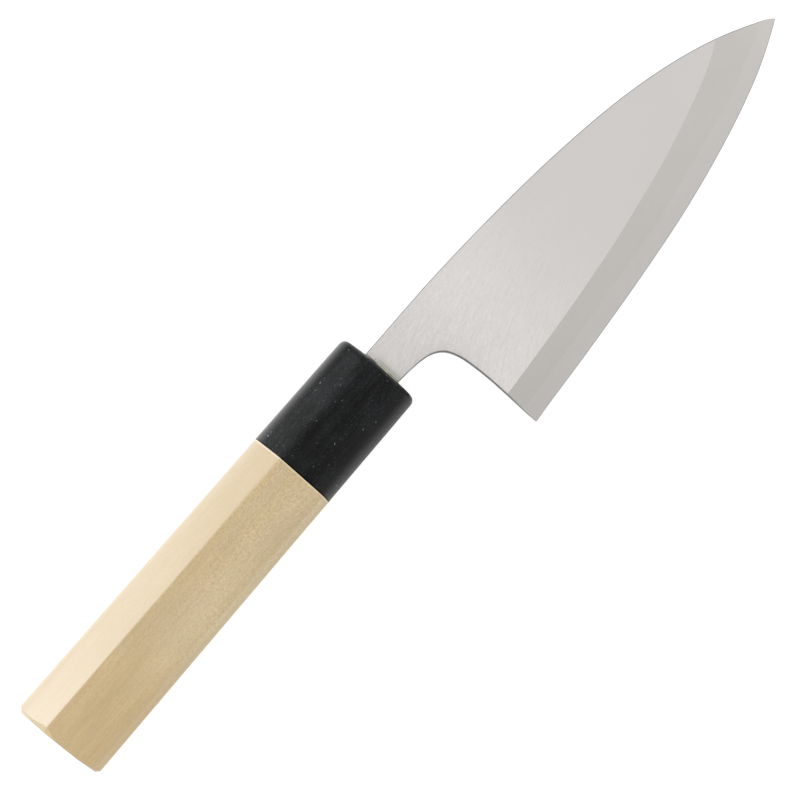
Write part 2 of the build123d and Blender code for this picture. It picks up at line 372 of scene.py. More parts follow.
def sheet_of(rows, surface, lines, pts):
    """the flat part inside a border: its points, triangles and the ring's numbers"""
    ring = rows[-1][:, :2]
    closing = np.column_stack([np.zeros(END), ring[-1, 1] + (ring[0, 1] - ring[-1, 1]) * end_y])
    loop = np.vstack([ring, closing])
    co, faces, place = triangulated(loop, lines(loop), pts)
    return co, faces, place


def nearest(loop, p):
    return int(np.argmin(np.hypot(*(loop[:len(s_col)] - np.array(p)).T)))


def top_lines(loop):
    ends = [nearest(loop, at(np.array([c]))[0]) for c in cross]
    spine_end, heel_end = min(ends), max(ends)
    x0, x1 = loop[heel_end][0], loop[spine_end][0]
    out = []
    for step_, off in ((0, 0.0), (1, 0.06), (-1, -0.06)):
        a, b = heel_end + step_, spine_end - step_
        xs = np.arange(x0 + 0.6, x1 - 0.5, 0.6)
        wide = 1 + 1.6 * smooth(80, 120, xs)
        slope = (shinogi_y(xs + 0.05) - shinogi_y(xs - 0.05)) / 0.1
        k = 1 / np.hypot(1, slope)
        px, py = xs - off * wide * slope * k, shinogi_y(xs) + off * wide * k
        out.append([a] + [(float(u), float(v)) for u, v in zip(px, py)] + [b])
    return out


gx, gy = np.meshgrid(np.arange(0.8, 134, 1.5), np.arange(-39, 5.5, 1.5))
gx = gx + (np.arange(gx.shape[0]) % 2)[:, None] * 0.75
grid = np.column_stack([gx.ravel(), gy.ravel()])
top_ring = np.vstack([top_rows[-1][:, :2], [(0, 0)]])
grid_top = inside(np.vstack([top_rows[-1][:, :2]]), grid, 0.5)
grid_top = grid_top[np.abs(grid_top[:, 1] - shinogi_y(grid_top[:, 0])) > 0.55]


def rim_line():
    xs = np.concatenate([np.linspace(17.0, 22, 60), np.arange(22.4, 108, 0.8), np.linspace(108, 124, 70)])
    ok = hollow_d(xs) > 1e-4
    xs = xs[ok]
    half = np.sqrt(2 * HOLLOW_R * hollow_d(xs) - hollow_d(xs) ** 2)
    yc = hollow_yc(xs)
    pts = [(float(x), float(y)) for x, y in zip(xs, yc + half)]
    return pts + [(float(x), float(y)) for x, y in zip(xs[::-1], (yc - half)[::-1])]


rim = rim_line()
rim_poly = np.array(rim)
grid_low = inside(np.vstack([low_rows[-1][:, :2]]), grid, 0.5)
near_rim = np.array([np.hypot(*(rim_poly - p).T).min() for p in grid_low])
grid_low = grid_low[near_rim > 0.45]

co_top, tri_top, place_top = sheet_of(top_rows, top_z, top_lines, grid_top)
co_low, tri_low, place_low = sheet_of(low_rows, under_z, lambda loop: [rim + [rim[0]]], grid_low)
print("blade sheets", len(co_top), len(tri_top), len(co_low), len(tri_low))

# one closed skin of the whole blade and tang
HIRA, KIREHA, SIDE, URA, RIM = 0, 1, 2, 3, 4
verts, faces, kinds = [], [], []


def add(points):
    start = len(verts)
    verts.extend(tuple(p) for p in points)
    return np.arange(start, start + len(points))


n_ring = len(s_col)
t_ids = [add(r) for r in top_rows]
l_ids = [add(r) for r in low_rows]


def sheet_ids(co, place, ring_ids, surface):
    ids = -np.ones(len(co), int)
    for j, i in place.items():
        if j < n_ring:
            ids[i] = ring_ids[j]
    free = np.nonzero(ids < 0)[0]
    z = surface(co[free, 0], co[free, 1])
    ids[free] = add(np.column_stack([co[free], z]))
    return ids


top_sheet = sheet_ids(co_top, place_top, t_ids[-1], top_z)
low_sheet = sheet_ids(co_low, place_low, l_ids[-1], under_z)


def band(a, b, kind, flip=False):
    for i in range(len(a) - 1):
        f = (a[i], a[i + 1], b[i + 1], b[i])
        faces.append(tuple(int(v) for v in (f[::-1] if flip else f)))
        kinds.append(kind)


for k in range(ROWS + 1):
    mid = (top_rows[k] + top_rows[k + 1]) / 2
    for i in range(n_ring - 1):
        m = (mid[i] + mid[i + 1]) / 2
        flat_kind = HIRA if m[1] > shinogi_y(m[0]) else KIREHA
        edge_here = on_edge[i] > 0.5
        kind = flat_kind if k >= ROWS - 1 else (KIREHA + 4 if edge_here else SIDE)
        faces.append((int(t_ids[k][i]), int(t_ids[k][i + 1]), int(t_ids[k + 1][i + 1]), int(t_ids[k + 1][i])))
        kinds.append(kind)
    band(l_ids[k], l_ids[k + 1], SIDE if k < ROWS - 1 else RIM, True)
band(t_ids[0], l_ids[0], SIDE, True)
for f in tri_top:
    c = co_top[list(f)].mean(axis=0)
    faces.append(tuple(int(top_sheet[v]) for v in f))
    kinds.append(HIRA if c[1] > shinogi_y(c[0]) or c[0] < 15.0 else KIREHA)
for f in tri_low:
    c = co_low[list(f)].mean(axis=0)
    faces.append(tuple(int(low_sheet[v]) for v in f[::-1]))
    half2 = 2 * HOLLOW_R * hollow_d(c[0]) - hollow_d(c[0]) ** 2
    kinds.append(URA if 16.5 < c[0] < 125 and half2 > 0 and (c[1] - hollow_yc(c[0])) ** 2 < half2 else RIM)

# the neck runs on into the stick tang
closing_top = [top_sheet[place_top[n_ring + j]] for j in range(END)]
closing_low = [low_sheet[place_low[n_ring + j]] for j in range(END)]
loop = ([t_ids[ROWS + 1][-1]] + closing_top + [t_ids[k][0] for k in range(ROWS + 1, -1, -1)]
        + [l_ids[k][0] for k in range(ROWS + 2)] + closing_low[::-1]
        + [l_ids[k][-1] for k in range(ROWS + 1, -1, -1)] + [t_ids[k][-1] for k in range(ROWS + 1)])
loop = [int(v) for v in loop]
root = np.array([verts[v] for v in loop])
z_top = float(hira_z(0.0, SPINE_Y))


def tang_loop(x, shrink=0.0):
    k = x / TANG_END
    v = (root[:, 1] - UNDER_Y) / (SPINE_Y - UNDER_Y)
    w = (root[:, 2] - URA_Z) / (z_top - URA_Z)
    y0, y1 = UNDER_Y + (TANG_Y0 - UNDER_Y) * k + shrink, SPINE_Y + (TANG_Y1 - SPINE_Y) * k - shrink
    z0, z1 = URA_Z + (TANG_Z0 - URA_Z) * k + shrink, z_top + (TANG_Z1 - z_top) * k - shrink
    return np.column_stack([np.full(len(root), x), y0 + (y1 - y0) * v, z0 + (z1 - z0) * w])


last = np.array(loop)
for x, shrink in ((-8.0, 0), (-30.0, 0), (-60.0, 0), (TANG_END + 0.4, 0), (TANG_END, 0.4)):
    new = add(tang_loop(x, shrink))
    for i in range(len(last)):
        j = (i + 1) % len(last)
        faces.append((int(last[i]), int(last[j]), int(new[j]), int(new[i])))
        kinds.append(SIDE)
    last = new
mid = add([tang_loop(TANG_END, 0.4).mean(axis=0)])[0]
for i in range(len(last)):
    faces.append((int(last[i]), int(last[(i + 1) % len(last)]), int(mid)))
    kinds.append(SIDE)
blade_v, blade_f, blade_k = np.array(verts), faces, kinds


def blade_bmesh():
    bm = bmesh.new()
    wave = lam_wave(blade_v[:, 0])
    vs = [bm.verts.new((p[0], p[1], p[2] - w)) for p, w in zip(blade_v, wave)]
    for f, k in zip(blade_f, blade_k):
        bm.faces.new([vs[i] for i in f]).material_index = k
    bmesh.ops.recalc_face_normals(bm, faces=bm.faces)
    return bm


lam_no = Vector((LAM_TAPER, 0, 1)).normalized()
lam_co = Vector((LAM_X, 0, URA_Z + LAM_HEEL))


def fill(bm, edges, kind):
    """close a cut with a flat face of its own, marked so that its border stays crisp"""
    mark = bm.faces.layers.int.get("cut") or bm.faces.layers.int.new("cut")
    order = max([f[mark] for f in bm.faces] + [0]) + 1
    edges = [e for e in edges if e.is_valid]
    done = bmesh.ops.edgeloop_fill(bm, edges=edges)["faces"]
    for f in done:
        f.material_index = kind
        f[mark] = order
    bmesh.ops.triangulate(bm, faces=done)


def open_edges_of(bm):
    return [e for e in bm.edges if len(e.link_faces) == 1]


def bm_to_piece(bm, name, mats, sharp_deg=32.0):
    """back from the cutting frame to the shared frame, in metres"""
    wave = lam_wave(np.array([v.co.x for v in bm.verts]))
    for v, w in zip(bm.verts, wave):
        v.co = ((v.co.x + SHIFT[0]) * 0.001, (v.co.y + SHIFT[1]) * 0.001, (v.co.z + w + SHIFT[2]) * 0.001)
    bmesh.ops.recalc_face_normals(bm, faces=bm.faces)
    mesh = bpy.data.meshes.new(name)
    for m in mats:
        mesh.materials.append(m)
    finish_bmesh(bm, mesh, sharp_deg)
    obj = bpy.data.objects.new(name, mesh)
    bpy.context.scene.collection.objects.link(obj)
    return obj


def everything(bm):
    return bm.verts[:] + bm.edges[:] + bm.faces[:]


# ---------------------------------------------------------------------------
# Handle section: an oval with two facets that meet in one ridge
# ---------------------------------------------------------------------------
def facet_r(theta, p, q):
    nx, ny = -(q[1] - p[1]), q[0] - p[0]
    c = nx * p[0] + ny * p[1]
    d = nx * np.cos(theta) + ny * np.sin(theta)
    with np.errstate(divide="ignore"):
        return np.where(c * d > 1e-9, c / np.where(np.abs(d) < 1e-12, 1e-12, d), 1e3)


half_turn = np.linspace(0, 2 * math.pi, 20001)
near_ridge = np.minimum(half_turn, 2 * math.pi - half_turn)
density = 1 / (0.024 - 0.0195 * np.exp(-(near_ridge / 0.10) ** 2))
total_d = np.concatenate([[0], np.cumsum((density[1:] + density[:-1]) / 2 * np.diff(half_turn))])
N_AROUND = int(total_d[-1]) // 4 * 4
around = np.interp(np.arange(N_AROUND) / N_AROUND * total_d[-1], total_d, half_turn)


def along(x):
    return (np.asarray(x, float) - BUTT_X) / (0.0 - BUTT_X)


def ridge_at(x):
    return float(np.interp(x, [BUTT_X, JOINT_X, 0.0], [RIDGE_U, RIDGE_U_JOINT, RIDGE_U_FRONT])), RIDGE_W


def profile(x, inset=0.0, soft=None):
    """closed profile at x as (y, z), taken in by inset, which may differ round the section"""
    k = float(along(x))
    b, a = BUTT_B + (FRONT_B - BUTT_B) * k, BUTT_A + (FRONT_A - BUTT_A) * k
    ridge = ridge_at(x)
    theta = math.atan2(ridge[1], ridge[0]) + around
    if soft is None:
        soft = 150.0 - 96.0 * float(smooth(-95.0, -42.0, x))
    cu, su = np.cos(theta), np.sin(theta)
    oval = 1.0 / np.hypot(cu, su / np.where(su > 0, OVAL_UP, 1.0))
    f1, f2 = facet_r(theta, ridge, FACET_UP), facet_r(theta, ridge, FACET_LOW)
    small = np.minimum(f1, f2)
    facets = small * ((f1 / small) ** -soft + (f2 / small) ** -soft) ** (-1 / soft)
    r = (oval ** -FACET_SOFT + facets ** -FACET_SOFT) ** (-1 / FACET_SOFT)
    return BUTT_DROP * (1 - k) + (b - inset) * r * cu, (a - inset) * r * su


def ellipse_loop(b, a):
    theta = math.atan2(RIDGE_W, 0.32) + around
    return b * np.cos(theta), a * np.sin(theta)


def box_loop(y0, y1, z0, z1, r, lean=0.0):
    """rounded rectangle by angle; lean is how much lower the top runs per mm towards -y"""
    theta = math.atan2(RIDGE_W, 0.32) + around
    yc, zc, hy, hz = (y0 + y1) / 2, (z0 + z1) / 2, (y1 - y0) / 2, (z1 - z0) / 2
    cu, su = np.cos(theta), np.sin(theta)
    p = 14.0
    k = ((np.abs(cu) / hy) ** p + (np.abs(su) / hz) ** p) ** (-1 / p)
    y, z = yc + k * cu, zc + k * su
    return y, z - lean * (y1 - y) * (z > zc)


def loft_rings(rings, closed, cap_start=False, cap_end=False):
    v = np.vstack([np.column_stack(r) for r in rings])
    n = N_AROUND
    f = []
    last_ = len(rings) if closed else len(rings) - 1
    for k in range(last_):
        a, b = k * n, ((k + 1) % len(rings)) * n
        for i in range(n):
            j = (i + 1) % n
            f.append((a + i, a + j, b + j, b + i))
    v = v.tolist()
    for flag, r0 in ((cap_start, 0), (cap_end, (len(rings) - 1) * n)):
        if flag:
            c = len(v)
            v.append(np.mean([v[r0 + i] for i in range(n)], axis=0).tolist())
            for i in range(n):
                f.append((r0 + i, r0 + (i + 1) % n, c))
    return v, f


def full(x):
    return np.full(N_AROUND, float(x)) if np.isscalar(x) else x


# how far the butt's chamfer reaches along the handle: short on the flats, long on the ridge
off = np.where(around > math.pi, around - 2 * math.pi, around)
spine_side = np.exp(-((off + 1.15) / 0.42) ** 2)
edge_side = np.exp(-((off - 1.75) / 0.45) ** 2)
chamfer_x = (0.52 + 1.10 * np.where(off > 0, np.exp(-(off / 0.125) ** 2), np.exp(-(np.abs(off) / 0.38) ** 1.4))
             + 0.70 * spine_side + 0.45 * edge_side)
chamfer_in = 0.10 + 0.74 * chamfer_x
y_b, _ = profile(BUTT_X)
butt_face = (BUTT_X + 0.12 + 0.32 * smooth(2.0, -12.0, y_b) + 0.28 * smooth(-6.0, -12.0, y_b)
             + 0.13 * smooth(5.0, 0.0, y_b) - 0.10 * smooth(6.0, 11.5, y_b))

rings = []
face_in = chamfer_in + 0.05
for k in (0.28, 0.55, 0.8, 0.94):
    y, z = profile(BUTT_X, face_in)
    rings.append((butt_face, y * k, z * k))
for back, out in ((0.0, 0.0), (0.10, 0.03), (0.5, 0.47), (0.88, 0.93), (1.0, 0.995)):
    y, z = profile(BUTT_X, face_in * (1 - out))
    rings.append((butt_face + chamfer_x * back, y, z))
for more in (0.18, 0.5, 1.4):
    y, z = profile(BUTT_X + 1.0, 0.0)
    k = more / 1.4
    rings.append((butt_face + chamfer_x + more, *profile(BUTT_X + 1.0 + more)))
for x in np.linspace(BUTT_X + 5.5, JOINT_X - 1.5, 44):
    rings.append((full(x), *profile(x)))
for x, inset in ((-0.6, 0.0), (-0.16, 0.0), (-0.10, 0.012), (-0.04, 0.045), (0.0, 0.11)):
    rings.append((full(JOINT_X + x), *profile(JOINT_X + x, inset)))
rings.append((full(JOINT_X), *ellipse_loop(TENON_B, TENON_A)))
for x, d in ((-30.0, 0), (-20.0, 0), (-8.0, 0), (TENON_END - 0.25, 0), (TENON_END, 0.25)):
    rings.append((full(x), *ellipse_loop(TENON_B - d, TENON_A - d)))


def seal_loop(grow, jitter=0.0):
    return box_loop(UNDER_Y - grow, SPINE_Y + grow, URA_Z - grow, z_top + grow, 0.6 + grow)


rings.append((full(TENON_END), *seal_loop(0.98)))
rings.append((full(FRONT_X - 1.5), *seal_loop(0.54)))


def slot_ring(x, room=0.05):
    k = x / TANG_END
    return (full(x), *box_loop(UNDER_Y + (TANG_Y0 - UNDER_Y) * k - room, SPINE_Y + (TANG_Y1 - SPINE_Y) * k + room,
                               URA_Z + (TANG_Z0 - URA_Z) * k - room, z_top + (TANG_Z1 - z_top) * k + room, 0.2))


for x in (FRONT_X - 1.52, -30.0, -60.0, TANG_END - SLOT_RELIEF):
    rings.append(slot_ring(x))
grip_v, grip_f = loft_rings(rings, False, True, True)

# ferrule
rings = []
for x, inset in ((0.0, 0.06), (0.02, 0.03), (0.05, 0.01), (0.09, 0.0), (0.5, 0.0)):
    rings.append((full(JOINT_X + x), *profile(JOINT_X + x, inset, 50.0)))
for x in np.linspace(JOINT_X + 2.0, FRONT_X - FRONT_ROUND_X - 1.0, 18):
    rings.append((full(x), *profile(x, 0.0, 50.0)))
for deg in range(0, 91, 9):
    t = math.radians(deg)
    x = FRONT_X - FRONT_ROUND_X * (1 - math.sin(t))
    rings.append((full(x), *profile(x, FRONT_ROUND_R * (1 - math.cos(t)), 40.0)))
rings.append((full(FRONT_X), *profile(FRONT_X, FRONT_ROUND_R + 0.30, 40.0)))
rings.append((full(FRONT_X), *ellipse_loop(TENON_B + 0.2, TENON_A + 0.2)))
for x, d in ((FRONT_X - 0.15, 0.04), (-10.0, 0.02), (-20.0, 0.02), (JOINT_X, 0.02)):
    rings.append((full(x), *ellipse_loop(TENON_B + d, TENON_A + d)))
horn_v, horn_f = loft_rings(rings, True)

# wax seal round the neck, a little uneven as it was wiped by hand
theta = around
uneven = (0.10 * np.sin(3 * theta + 0.7) + 0.07 * np.sin(7 * theta + 2.1) + 0.05 * np.sin(13 * theta + 4.0))
rings = []
for x, grow, wob in ((-1.5, 0.52, 0), (-0.4, 0.95, 0), (-0.1, 1.02, 0), (0.10, 1.02, 0.3), (0.26, 0.84, 0.5),
                     (0.42, 0.58, 0.7), (0.54, 0.28, 0.8), (0.60, 0.06, 0.9), (0.61, -0.04, 0.9)):
    rings.append((full(FRONT_X + x) + uneven * wob * (x > 0.05), *seal_loop(grow)))
for x in (0.3, -1.5):
    rings.append((full(FRONT_X + x), *seal_loop(-0.12)))
seal_v, seal_f = loft_rings(rings, True)


# ---------------------------------------------------------------------------
# Materials
# ---------------------------------------------------------------------------
class Mat:
    """short way to write a node material"""

    def __init__(self, name):
        self.m = bpy.data.materials.new(name)
        self.m.use_nodes = True
        self.t = self.m.node_tree
        self.t.nodes.clear()
        self.out = self.t.nodes.new("ShaderNodeOutputMaterial")
        self.bsdf = self.t.nodes.new("ShaderNodeBsdfPrincipled")
        self.t.links.new(self.bsdf.outputs[0], self.out.inputs["Surface"])
        self.pos = self.t.nodes.new("ShaderNodeTexCoord").outputs["Object"]
        self.mm = self.vec("SCALE", self.pos, scale=1000.0)

    def put(self, socket, value):
        if isinstance(value, bpy.types.NodeSocket):
            self.t.links.new(value, socket)
        else:
            socket.default_value = value

    def math(self, op, *args, clamp=False):
        n = self.t.nodes.new("ShaderNodeMath")
        n.operation, n.use_clamp = op, clamp
        for s, a in zip(n.inputs, args):
            self.put(s, a)
        return n.outputs[0]

    def vec(self, op, *args, scale=None):
        n = self.t.nodes.new("ShaderNodeVectorMath")
        n.operation = op
        for s, a in zip(n.inputs, args):
            self.put(s, a)
        if scale is not None:
            self.put(n.inputs["Scale"], scale)
        return n.outputs["Value"] if op in ("LENGTH", "DOT_PRODUCT", "DISTANCE") else n.outputs["Vector"]

    def split(self, v):
        n = self.t.nodes.new("ShaderNodeSeparateXYZ")
        self.put(n.inputs[0], v)
        return n.outputs

    def join(self, x, y, z):
        n = self.t.nodes.new("ShaderNodeCombineXYZ")
        for s, a in zip(n.inputs, (x, y, z)):
            self.put(s, a)
        return n.outputs[0]

    def noise(self, v, scale=1.0, detail=2.0, rough=0.5, distortion=0.0):
        n = self.t.nodes.new("ShaderNodeTexNoise")
        self.put(n.inputs["Vector"], v)
        n.inputs["Scale"].default_value = scale
        n.inputs["Detail"].default_value = detail
        n.inputs["Roughness"].default_value = rough
        n.inputs["Distortion"].default_value = distortion
        return n.outputs["Fac"]

    def cells(self, v, scale=1.0, randomness=1.0, out="Distance"):
        n = self.t.nodes.new("ShaderNodeTexVoronoi")
        self.put(n.inputs["Vector"], v)
        n.inputs["Scale"].default_value = scale
        n.inputs["Randomness"].default_value = randomness
        return n.outputs[out]

    def cells_two(self, v):
        n = self.t.nodes.new("ShaderNodeTexVoronoi")
        self.put(n.inputs["Vector"], v)
        n.inputs["Scale"].default_value = 1.0
        return n.outputs["Distance"], n.outputs["Color"]

    def ramp(self, v, a, b, lo=0.0, hi=1.0, kind="SMOOTHSTEP"):
        n = self.t.nodes.new("ShaderNodeMapRange")
        n.interpolation_type = kind
        self.put(n.inputs["Value"], v)
        for key, val in (("From Min", a), ("From Max", b), ("To Min", lo), ("To Max", hi)):
            self.put(n.inputs[key], val)
        return n.outputs["Result"]

    def mix(self, fac, a, b, mode="MIX"):
        n = self.t.nodes.new("ShaderNodeMix")
        n.data_type, n.blend_type = "RGBA", mode
        self.put(n.inputs[0], fac)
        self.put(n.inputs[6], a if isinstance(a, bpy.types.NodeSocket) else (*a, 1.0))
        self.put(n.inputs[7], b if isinstance(b, bpy.types.NodeSocket) else (*b, 1.0))
        return n.outputs[2]

    def bump(self, height, distance, strength=1.0, normal=None):
        n = self.t.nodes.new("ShaderNodeBump")
        n.inputs["Strength"].default_value = strength
        n.inputs["Distance"].default_value = distance
        self.put(n.inputs["Height"], height)
        if normal is not None:
            self.put(n.inputs["Normal"], normal)
        return n.outputs["Normal"]

    def set(self, **values):
        for key, value in values.items():
            s = self.bsdf.inputs[key.replace("_", " ")]
            if not isinstance(value, bpy.types.NodeSocket) and s.type == "RGBA":
                value = (*value, 1.0)
            self.put(s, value)
        return self


def grey_by(m, colour, factor):
    """colour times a factor socket around 1"""
    n = m.t.nodes.new("ShaderNodeMix")
    n.data_type, n.blend_type = "RGBA", "MULTIPLY"
    n.inputs[0].default_value = 1.0
    m.put(n.inputs[6], colour if isinstance(colour, bpy.types.NodeSocket) else (*colour, 1.0))
    comb = m.t.nodes.new("ShaderNodeCombineColor")
    for s in comb.inputs[:3]:
        m.put(s, factor)
    m.t.links.new(comb.outputs[0], n.inputs[7])
    return n.outputs[2]


HIRA_RGB = (0.722, 0.690, 0.668)
KIREHA_RGB = (0.648, 0.616, 0.589)
HAGANE_RGB = (0.668, 0.636, 0.610)
# painted shade: the steel of the blade's sides is darker than the flats
SIDE_SHADE_RGB = (0.220, 0.216, 0.212)


def scratch_coords(m, across, down):
    """coordinates across and along the polishing strokes: about 15 degrees at the neck, 30 by the heel, level ahead"""
    x, y, _ = m.split(m.mm)
    x, y = m.math("SUBTRACT", x, float(SHIFT[0])), m.math("SUBTRACT", y, float(SHIFT[1]))
    spread = m.math("MULTIPLY_ADD", x, 0.025, 1.0)
    rise = m.math("MULTIPLY", x, m.math("MULTIPLY_ADD", x, -0.002, 0.36))
    over = m.math("SUBTRACT", m.math("MULTIPLY", y, spread), rise)
    run = m.math("MULTIPLY_ADD", y, 0.4, x)
    return m.join(m.math("DIVIDE", over, across), m.math("DIVIDE", run, down), 0.0)


def hira_material():
    m = Mat("steel_hira")
    x, y, z = m.split(m.mm)
    near = m.ramp(x, 74.0 + SHIFT[0], 16.0 + SHIFT[0])
    fine = m.noise(scratch_coords(m, 0.50, 1.35), 1.0, 2.0, 0.6)
    wide = m.noise(scratch_coords(m, 1.3, 7.0), 1.0, 3.0, 0.6)
    lone = m.ramp(m.noise(scratch_coords(m, 0.42, 6.5), 1.0, 1.0), 0.62, 0.74)
    cloud = m.noise(m.vec("MULTIPLY", m.mm, (0.03, 0.05, 0.05)), 1.0, 2.0)
    amount = m.ramp(near, 0.0, 1.0, 0.016, 0.44, "LINEAR")
    f = m.math("MULTIPLY_ADD", m.math("SUBTRACT", fine, 0.5), amount, 1.0)
    f = m.math("MULTIPLY_ADD", m.math("SUBTRACT", wide, 0.5), m.math("MULTIPLY", amount, 0.7), f)
    f = m.math("MULTIPLY_ADD", m.math("MULTIPLY", lone, near), 0.12, f)
    f = m.math("MULTIPLY_ADD", m.math("SUBTRACT", cloud, 0.5), 0.05, f)
    # painted sheen: the hazy zone that polishing leaves towards the heel and the shinogi, painted lighter for the
    # lamp's light that it scatters
    hx = m.math("DIVIDE", m.math("SUBTRACT", x, 17.0 + SHIFT[0]), 30.0)
    hy = m.math("DIVIDE", m.math("SUBTRACT", y, -27.0 + SHIFT[1]), 22.0)
    haze = m.math("EXPONENT", m.math("MULTIPLY", m.math("ADD", m.math("MULTIPLY", hx, hx), m.math("MULTIPLY", hy, hy)), -1.0))
    f = m.math("MULTIPLY_ADD", haze, 0.15, f)
    # painted sheen too: lighter by the spine near the heel
    sx = m.math("DIVIDE", m.math("SUBTRACT", x, 31.0 + SHIFT[0]), 17.0)
    sy = m.math("DIVIDE", m.math("SUBTRACT", y, 1.0 + SHIFT[1]), 14.0)
    spine_sheen = m.math("EXPONENT", m.math("MULTIPLY", m.math("ADD", m.math("MULTIPLY", sx, sx), m.math("MULTIPLY", sy, sy)), -1.0))
    f = m.math("MULTIPLY_ADD", spine_sheen, 0.135, f)
    # painted shade: darker along the choil and under the neck, with a dark line at the border
    qx = m.math("MAXIMUM", m.math("SUBTRACT", x, 6.6 + SHIFT[0]), 0.0)
    qy = m.math("MAXIMUM", m.math("SUBTRACT", y, -15.2 + SHIFT[1]), 0.0)
    away = m.math("MAXIMUM", m.math("SUBTRACT", m.math("SQRT", m.math("ADD", m.math("MULTIPLY", qx, qx),
                                                                    m.math("MULTIPLY", qy, qy))), 8.75), 0.0)
    upper = m.ramp(y, -23.0 + SHIFT[1], -17.0 + SHIFT[1])
    choil_shade_wide = m.math("MULTIPLY", m.math("EXPONENT", m.math("MULTIPLY", away, -0.27)), m.math("MULTIPLY", upper, -0.095))
    choil_shade_close = m.math("MULTIPLY", m.math("EXPONENT", m.math("MULTIPLY", away, -1.2)), m.math("MULTIPLY", upper, -0.07))
    line = m.math("MULTIPLY", m.math("EXPONENT", m.math("MULTIPLY", away, -2.6)), m.math("MULTIPLY_ADD", upper, 0.30, -0.32))
    f = m.math("ADD", m.math("ADD", f, choil_shade_wide), m.math("ADD", choil_shade_close, line))
    px, py = m.math("SUBTRACT", x, 0.28 + SHIFT[0]), m.math("SUBTRACT", y, 2.35 + SHIFT[1])
    pit = m.ramp(m.math("SQRT", m.math("ADD", m.math("MULTIPLY", px, px), m.math("MULTIPLY", py, py))), 0.26, 0.10)
    f = m.math("MULTIPLY_ADD", pit, -0.62, f)
    height = m.math("MULTIPLY_ADD", wide, 0.6, fine)
    # painted shade, greenish, on the steel next to the seal
    seal_shade = m.math("EXPONENT", m.math("MULTIPLY", m.math("MAXIMUM", m.math("SUBTRACT", x, 0.9 + SHIFT[0]), 0.0), -2.3))
    seal_shade = m.math("MULTIPLY", seal_shade, m.ramp(y, 3.4 + SHIFT[1], 0.4 + SHIFT[1], 0.12, 1.0))
    base = m.mix(m.math("MULTIPLY", seal_shade, 0.95), grey_by(m, HIRA_RGB, f), (0.485, 0.49, 0.43))
    m.set(Base_Color=base, Metallic=1.0, Roughness=m.ramp(fine, 0.3, 0.7, 0.36, 0.42, "LINEAR"),
          Normal=m.bump(height, 0.000004, 1.0))
    return m.m


def kireha_material(name, rgb, rough):
    m = Mat(name)
    grain = m.noise(m.vec("MULTIPLY", m.mm, (1.1, 1.7, 1.7)), 1.0, 2.0, 0.6)
    cloud = m.noise(m.vec("MULTIPLY", m.mm, (0.05, 0.16, 0.16)), 1.0, 2.0)
    f = m.math("MULTIPLY_ADD", m.math("SUBTRACT", grain, 0.5), 0.075, 1.0)
    f = m.math("MULTIPLY_ADD", m.math("SUBTRACT", cloud, 0.5), 0.06, f)
    x, y, z = m.split(m.mm)
    f = m.math("ADD", f, m.ramp(x, 15.0 + SHIFT[0], 42.0 + SHIFT[0], -0.085, -0.02))
    f = m.math("ADD", f, m.ramp(x, 42.0 + SHIFT[0], 118.0 + SHIFT[0], 0.0, 0.045, "LINEAR"))
    f = m.math("ADD", f, m.ramp(x, 122.0 + SHIFT[0], 132.0 + SHIFT[0], 0.0, 0.06))
    m.set(Base_Color=grey_by(m, rgb, f), Metallic=1.0, Roughness=rough, Normal=m.bump(grain, 0.000002, 1.0))
    return m.m


def side_material():
    m = Mat("steel_sides")
    grain = m.noise(m.vec("MULTIPLY", m.mm, (1.2, 1.2, 5.0)), 1.0, 3.0, 0.6)
    f = m.math("MULTIPLY_ADD", m.math("SUBTRACT", grain, 0.5), 0.10, 1.0)
    m.set(Base_Color=grey_by(m, SIDE_SHADE_RGB, f), Metallic=1.0, Roughness=0.42, Normal=m.bump(grain, 0.000003, 1.0))
    return m.m


def ura_material():
    m = Mat("steel_ura_hollow")
    grain = m.noise(m.vec("MULTIPLY", m.mm, (0.22, 4.5, 4.5)), 1.0, 2.0, 0.55)
    f = m.math("MULTIPLY_ADD", m.math("SUBTRACT", grain, 0.5), 0.07, 1.0)
    m.set(Base_Color=grey_by(m, HIRA_RGB, f), Metallic=1.0, Roughness=0.34, Normal=m.bump(grain, 0.000004, 1.0))
    return m.m


def rim_material():
    m = Mat("steel_ura_rim")
    grain = m.noise(m.vec("MULTIPLY", m.mm, (2.2, 2.2, 2.2)), 1.0, 3.0, 0.6)
    f = m.math("MULTIPLY_ADD", m.math("SUBTRACT", grain, 0.5), 0.03, 1.0)
    m.set(Base_Color=grey_by(m, (0.66, 0.65, 0.635), f), Metallic=1.0, Roughness=0.2,
          Normal=m.bump(grain, 0.000001, 1.0))
    return m.m


